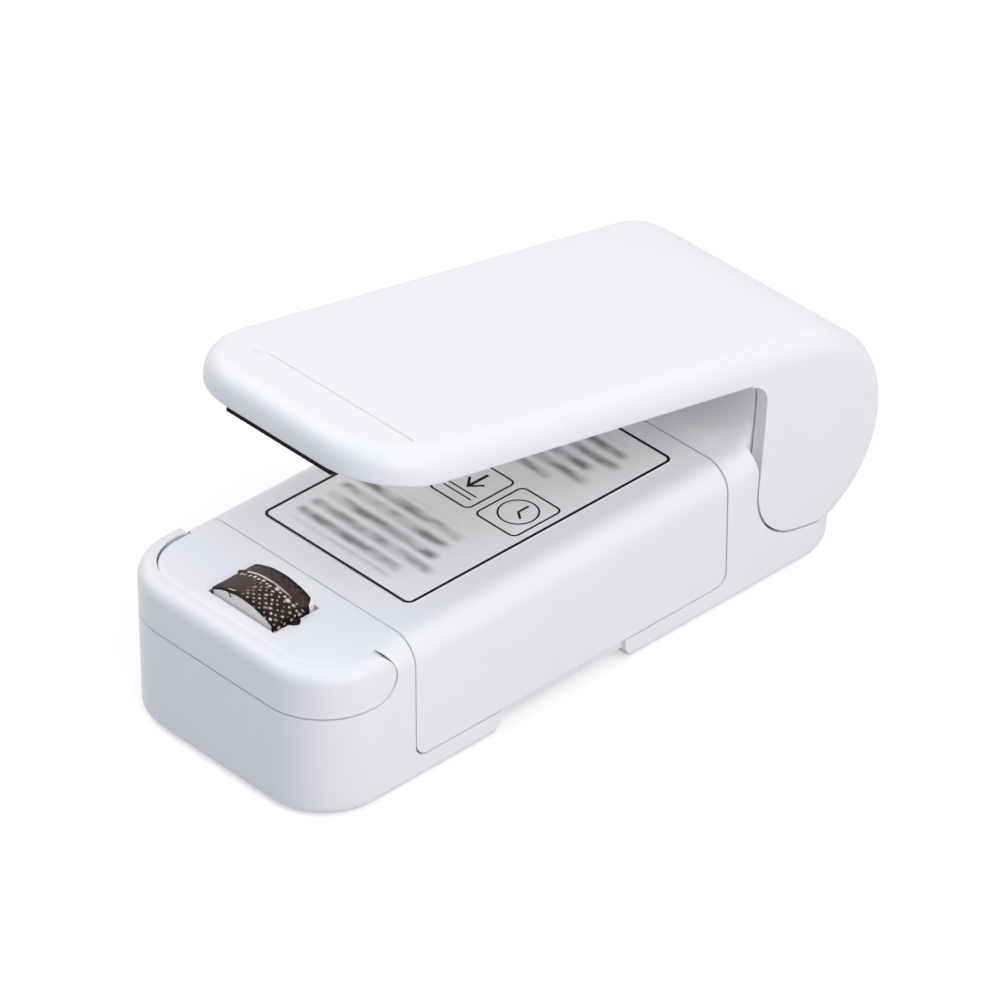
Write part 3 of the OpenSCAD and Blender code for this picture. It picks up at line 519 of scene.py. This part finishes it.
def round_rect(w, l, r, steps):
    points = []
    for cx, cy, a0 in ((w / 2 - r, l / 2 - r, 0), (r - w / 2, l / 2 - r, 90),
                       (r - w / 2, r - l / 2, 180), (w / 2 - r, r - l / 2, 270)):
        for i in range(steps + 1):
            a = math.radians(a0 + 90 * i / steps)
            points.append((cx + r * math.cos(a), cy + r * math.sin(a)))
    return points


def circle_points(r, steps=28):
    angles = [2 * math.pi * i / steps for i in range(steps)]
    return [(r * math.cos(a), r * math.sin(a)) for a in angles]


def ribbon(points, width, closed):
    """Left and right edge points of a flat line of that width, mitred at its corners."""
    n = len(points)
    left, right = [], []
    for i, p in enumerate(points):
        dirs = []
        if closed or i > 0:
            dirs.append((Vector(p) - Vector(points[(i - 1) % n])).normalized())
        if closed or i < n - 1:
            dirs.append((Vector(points[(i + 1) % n]) - Vector(p)).normalized())
        mean = sum(dirs, Vector((0, 0))).normalized()
        normal = Vector((-mean.y, mean.x))
        side = Vector((-dirs[0].y, dirs[0].x))
        reach = width / 2 / max(0.35, normal.dot(side))
        left.append(Vector(p) + normal * reach)
        right.append(Vector(p) - normal * reach)
    return left, right


def line_art(name, strokes, z, material, body):
    """Flat printed lines: strokes are (points in mm, width in mm, closed)."""
    verts, faces = [], []
    for points, width, closed in strokes:
        left, right = ribbon(points, width, closed)
        base = len(verts)
        for a, b in zip(left, right):
            verts += [(a.x * MM, a.y * MM, z * MM), (b.x * MM, b.y * MM, z * MM)]
        count = len(points)
        for i in range(count if closed else count - 1):
            j = (i + 1) % count
            faces.append((base + 2 * i, base + 2 * i + 1, base + 2 * j + 1, base + 2 * j))
    obj = mesh_object(name, verts, faces, material, body, smooth=False)


def shifted(points, du, dv):
    return [(x + LABEL_C[0] + du, y + LABEL_C[1] + dv) for x, y in points]


def pictograms():
    """A closed pouch, an arrow down onto two lines and a clock, each about its own middle."""
    thin, medium, broad, bold = 0.26, 0.34, 0.4, 0.5
    outline = [(-2.2, 2.6), (-2.6, -2.4), (-1.8, -3.0), (1.8, -3.0), (2.6, -2.4), (2.2, 2.6)]
    pouch = [(outline, thin, True), ([(-1.2, -1.6), (0.2, -1.0), (1.2, -1.7)], thin, False)]
    pouch += [([(-2.1, y), (2.1, y)], thin, False) for y in (1.2, 1.9)]
    head = [(-1.4, 0.9), (0.0, -0.7), (1.4, 0.9)]
    arrow = [([(0.0, 2.9), (0.0, -0.4)], bold, False), (head, broad, False)]
    arrow += [([(-2.6, y), (2.6, y)], thin, False) for y in (-2.6, -1.7)]
    clock = [(circle_points(2.7), thin, True), ([(0.0, 1.9), (0.0, 0.0), (1.3, -0.9)], medium, False)]
    return pouch, arrow, clock


def label_strokes():
    """The label's border, and a row of tiles with a pictogram in each."""
    border_line, tile_line = 0.44, 0.3
    border = round_rect(LABEL_W - 0.5, LABEL_L - 0.5, LABEL_R - 0.2, 8)
    tile = round_rect(7.4, 8.6, 0.9, 5)
    strokes = [(shifted(border, 0, 0), border_line, True)]
    for column, pictogram in enumerate(pictograms()):
        for points, width, closed in [(tile, tile_line, True)] + pictogram:
            strokes.append((shifted(points, TILE_STEP * (column - 1), TILE_V), width, closed))
    return strokes


line_art("label_lines", label_strokes(), PRINT_Z, label_ink, "cover")


# release cloth: a curved sheet with raised yarn crowns, in two strips beside the wire
CLOTH_HALF = 8.0
CLOTH_STEP = 0.075
STRIP_T, TONGUE_T = 0.13, 0.08
ARCH_REACH = math.asin(HEATER_X / ARCH_R)
ARCH_END = ARCH_REACH * (ARCH_R + CLOTH_T)
BEND_L = 0.5
SUNK = 0.1
CROWN_H = 0.075
LEG_FLARE, LOBE_FLARE = 0.42, 0.15
CUT_Y = -39.5
BEAD = 1.12
ROW_Y = WIRE_Y - 0.62
ROW_HALF = 0.42
ROW_STEP = 0.82
WIRE_SHOWS = 0.06
YARN_R = 0.07
bead_sizes = {}


def share(value):
    """The value, kept between 0 and 1."""
    return min(1.0, max(0.0, value))


def cloth_point(s, y, lift, flare=0.0):
    """Point on the cloth at arc length s from the middle: over the arch, then down its two ends."""
    radius = ARCH_R + CLOTH_T + lift
    a = s / (ARCH_R + CLOTH_T)
    if abs(a) <= ARCH_REACH:
        return radius * math.sin(a), y, ARCH_CZ + radius * math.cos(a)
    over = abs(s) - ARCH_END
    bend = min(over / BEND_L, 1.0)
    out = 0.055 * bend * (2 - bend) + flare * min(1.0, 1.5 * bend)
    x = radius * math.sin(ARCH_REACH) + out
    z = ARCH_CZ + radius * math.cos(ARCH_REACH) - over * (0.62 + 0.38 * bend)
    return math.copysign(x, s), y, z


def bead_size(key):
    """Size, place, level and stretch of one yarn crown, the same each time it is asked for."""
    if key not in bead_sizes:
        bead_sizes[key] = (rng.uniform(0.2, 0.36), rng.uniform(-0.15, 0.15), rng.uniform(-0.15, 0.15),
                           rng.uniform(0.3, 1.0), rng.uniform(0.7, 1.4))
    return bead_sizes[key]


def bead_at(s, y):
    """Height share of the yarn crowns: one row along the wire, then a lattice turned by 45 degrees."""
    if abs(y - ROW_Y) < ROW_HALF:
        k = round(s / ROW_STEP)
        size, shift_s, shift_y, level, stretch = bead_size(("row", k))
        d = math.hypot((s - ROW_STEP * k - shift_s) * stretch, y - ROW_Y - shift_y) / size
        return (0.4 + 0.6 * level) * max(0.0, 1.0 - d * d)
    a, b = (s + y) / BEAD, (s - y) / BEAD
    size, shift_a, shift_b, level, stretch = bead_size((round(a), round(b)))
    d = math.hypot((a - round(a) - shift_a) * stretch, b - round(b) - shift_b) / size
    return level * max(0.0, 1.0 - d * d)


def crown_and_painted_glint_share(s, y, front):
    """Where the crowns stand up and carry painted highlights: the row along the wire, and the right part in
    front of it.
    """
    if not front:
        return 0.1
    if abs(y - ROW_Y) < ROW_HALF:
        return share((s + 5.4) / 0.6)
    return share((s + 0.6 + (y - CLOTH_Y0) * 0.4) / 1.4)


def wire_hidden(s):
    """1 where the cloth closes over the wire, near both ends of the arch."""
    return share(max((-4.3 - s) / 0.5, (s - 3.2) / 1.2))


def right_end(row_y, lobe):
    """Arc length at which a row of the cloth ends: ragged, and cut back across the rear right corner."""
    end = CLOTH_HALF - 1.1 * lobe - 0.12 * rng.random()
    if row_y > CUT_Y:
        end = 6.1 - 0.9 * (row_y - CUT_Y) - 0.25 * rng.random()
    return end


def cloth_lift(s, y, crown, hidden):
    """Height against the plain sheet: a little sunk, raised by its crowns and where it climbs the wire."""
    over_wire = (0.1 + 0.1 * hidden) * max(0.0, 1.0 - abs(y - WIRE_Y) / 0.45)
    wave = 0.02 * math.sin(2.1 * s + 1.3 * y) * math.sin(3.4 * y)
    return -SUNK + CROWN_H * crown + over_wire + wave


def cloth_flare(s, y, lobe):
    """How far the hanging ends stand out: over the legs of the wire, and at the lobes on the right."""
    over_leg = LEG_FLARE * share(1.6 - abs(y - WIRE_Y) / 0.3)
    return max(over_leg, LOBE_FLARE * lobe if s > 0 else 0.0)


def darkening_at(s, y, outer, end, front):
    """How dark the coating is: full at the border and the ends, in part over the right half in front."""
    past_end = max(0.0, abs(s) - ARCH_END + 0.22, s - end + 0.3) / 0.25
    border_w = 0.7 + 0.2 * math.sin(5.0 * s) + 0.12 * math.sin(13.0 * s)
    at_border = max(0.0, 1.0 - abs(y - outer) / border_w)
    return share(past_end + 1.9 * at_border + (0.55 if front and s > 0.5 else 0.0))


def weave_piece(name, verts, faces, painted_glints, darkening, thickness, body):
    """A piece of cloth of that thickness, with the two marks that its material reads."""
    obj = mesh_object(name, verts, faces, release_weave, body)
    for key, values in (("painted_glint", painted_glints), ("darkening", darkening)):
        attr = obj.data.attributes.new(key, "FLOAT", "POINT")
        attr.data.foreach_set("value", values)
    thick = obj.modifiers.new("thickness", "SOLIDIFY")
    thick.thickness = thickness * MM
    thick.offset = -1.0
    return obj


def cloth_strip(name, outer, front):
    """One half of the cloth, from its outer border to the wire."""
    columns = int(2 * CLOTH_HALF / CLOTH_STEP)
    count = int(abs(WIRE_Y - outer) / CLOTH_STEP)
    toward = -1.0 if front else 1.0
    # the front border is hemmed down over the face of the carriage
    rows = [(0, -0.08, -0.3), (0, -0.08, -0.12)] if front else []
    rows += [(j, 0.0, 0.0) for j in range(count + 1)]
    verts, painted_glints, darkening = [], [], []
    for j, ahead, drop in rows:
        row_y = outer + (WIRE_Y - outer) * j / count
        lobe = max(0.0, math.sin(2.3 * (row_y - CLOTH_Y0) - 0.9))
        end = right_end(row_y, lobe)
        for i in range(columns + 1):
            s = -CLOTH_HALF + (end + CLOTH_HALF) * i / columns
            hidden = wire_hidden(s)
            inner = WIRE_Y + toward * (WIRE_SHOWS - (WIRE_SHOWS + 0.02) * hidden)
            y = outer + (inner - outer) * j / count + ahead
            crown = bead_at(s, y) * crown_and_painted_glint_share(s, y, front)
            lift = min(0.09 * hidden, cloth_lift(s, y, crown, hidden) + drop)
            point = cloth_point(s, y, lift, cloth_flare(s, y, lobe))
            verts.append(tuple(c * MM for c in point))
            # the painted highlight on the crowns, strongest where they stand highest
            painted_glints.append(min(1.0, 1.7 * crown ** 1.3))
            darkening.append(darkening_at(s, y, outer, end, front))
    faces = grid_faces(len(rows), columns)
    if not front:
        faces = [face[::-1] for face in faces]
    return weave_piece(name, verts, faces, painted_glints, darkening, STRIP_T, "heater")


def cloth_tongue():
    """Frayed end of the cloth that lies over the right rim of the heater opening."""
    mid_y, rim_x = -42.55, 6.4
    across = 8
    path = [(6.2, 21.2), (6.2, 21.8), (6.28, 22.14), (6.5, 22.22), (6.9, 22.16), (7.2, 22.13)]
    half_widths = [0.9, 0.95, 0.95, 0.9, 0.72, 0.2]
    verts = []
    for (x, z), half_width in zip(path, half_widths):
        for k in range(across + 1):
            t = 2.0 * k / across - 1.0
            back = 0.12 * t * t if x > rim_x else 0.0
            verts.append(((x - back) * MM, (mid_y + half_width * t) * MM, (z - 0.03 * t * t) * MM))
    faces = [(a, d, c, b) for a, b, c, d in grid_faces(len(path), across)]
    weave_piece("cloth_tongue", verts, faces, [0.0] * len(verts), [1.0] * len(verts), TONGUE_T, "base")


def loose_yarn(name, places, material):
    """A yarn through places given as arc length, distance behind the front border and height."""
    path = [cloth_point(s, CLOTH_Y0 + y, lift) for s, y, lift in places]
    verts, faces = wire_rings(smooth_path(path), YARN_R, 8)
    yarn = mesh_object(name, verts, faces, material, "heater")


cloth_front = cloth_strip("cloth_front", CLOTH_Y0, True)
cloth_strip("cloth_rear", CLOTH_Y1, False)
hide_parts("release_cloth")
cloth_tongue()
loose_yarn("yarn_pale", [(-2.7, 0.12, 0.02), (-2.2, 0.06, 0.07), (-1.5, 0.22, 0.03)], pale_yarn)
loose_yarn("yarn_dark", [(-2.5, -0.1, -0.1), (-2.45, -0.14, -0.5), (-2.25, -0.12, -1.05)], rubber)


# stage, light and camera, in metres
FLOOR_HALF = 6.0
FLOOR_DROP = 0.2 * MM
FLOOR_GLOW = 0.46
OBJECT_C = (0.0, 0.0, 0.02)
SOFTBOX = 0.9
CAMERA_PLACE = (0.5422, -0.5140, 0.5412)
CAMERA_AIM = (0.00615, -0.00672, 0.02344)


def turn_to(obj, aim):
    obj.rotation_euler = (Vector(aim) - obj.location).to_track_quat("-Z", "Y").to_euler()


def stage_floor():
    """Pale paper that keeps the object's shadow; its glow shows to the camera and in reflections alone."""
    mesh = bpy.data.meshes.new("floor")
    corners = [(-1, -1), (1, -1), (1, 1), (-1, 1)]
    mesh.from_pydata([(x * FLOOR_HALF, y * FLOOR_HALF, 0) for x, y in corners], [], [(0, 1, 2, 3)])
    floor = link(bpy.data.objects.new("floor", mesh))
    floor.location.z = -FLOOR_DROP
    mat, tree, bsdf = new_material("floor_paper")
    bsdf.inputs["Base Color"].default_value = (0.7, 0.7, 0.71, 1.0)
    bsdf.inputs["Roughness"].default_value = 0.9
    bsdf.inputs["Specular IOR Level"].default_value = 0.0
    glow = add(tree, "ShaderNodeEmission")
    plug(tree, math_node(tree, "MULTIPLY", seen_directly(tree), FLOOR_GLOW), glow.inputs["Strength"])
    total = add(tree, "ShaderNodeAddShader")
    plug(tree, bsdf.outputs[0], total.inputs[0])
    plug(tree, glow.outputs[0], total.inputs[1])
    plug(tree, total.outputs[0], tree.nodes["Material Output"].inputs["Surface"])
    mesh.materials.append(mat)


def background(tree, colour, strength):
    node = add(tree, "ShaderNodeBackground")
    node.inputs["Color"].default_value = (*colour, 1.0)
    node.inputs["Strength"].default_value = strength
    return node.outputs[0]


def world_light():
    """A white background for the camera and in reflections, and a faint bluish fill for all other light."""
    world = bpy.data.worlds.new("studio")
    bpy.context.scene.world = world
    world.use_nodes = True
    tree = world.node_tree
    tree.nodes.clear()
    both = add(tree, "ShaderNodeMixShader")
    plug(tree, seen_directly(tree), both.inputs["Fac"])
    plug(tree, background(tree, (0.85, 0.9, 1.0), 0.02), both.inputs[1])
    plug(tree, background(tree, (1.0, 1.0, 1.0), 1.0), both.inputs[2])
    plug(tree, both.outputs[0], add(tree, "ShaderNodeOutputWorld").inputs["Surface"])


def area_light(name, place, watts, colour):
    data = bpy.data.lights.new(name, "AREA")
    data.shape = "DISK"
    data.size = SOFTBOX
    data.energy = watts
    data.color = colour
    lamp = link(bpy.data.objects.new(name, data))
    lamp.location = place
    turn_to(lamp, OBJECT_C)


def photo_camera():
    data = bpy.data.cameras.new("camera")
    data.sensor_width = 36.0
    data.lens = 252.0
    data.clip_end = 20.0
    camera = link(bpy.data.objects.new("camera", data))
    camera.location = CAMERA_PLACE
    turn_to(camera, CAMERA_AIM)
    bpy.context.scene.camera = camera


stage_floor()
world_light()
area_light("right_box", (0.70, -0.10, 0.60), 6.6, (1.0, 0.98, 0.94))
area_light("left_box", (-0.70, -0.10, 0.60), 5.1, (1.0, 0.96, 0.88))
area_light("rear_box", (0.10, 0.60, 0.75), 2.4, (1.0, 1.0, 1.0))
area_light("front_box", (0.05, -0.40, 0.82), 2.4, (0.58, 0.68, 1.0))
photo_camera()
bpy.context.scene.view_settings.view_transform = "Standard"
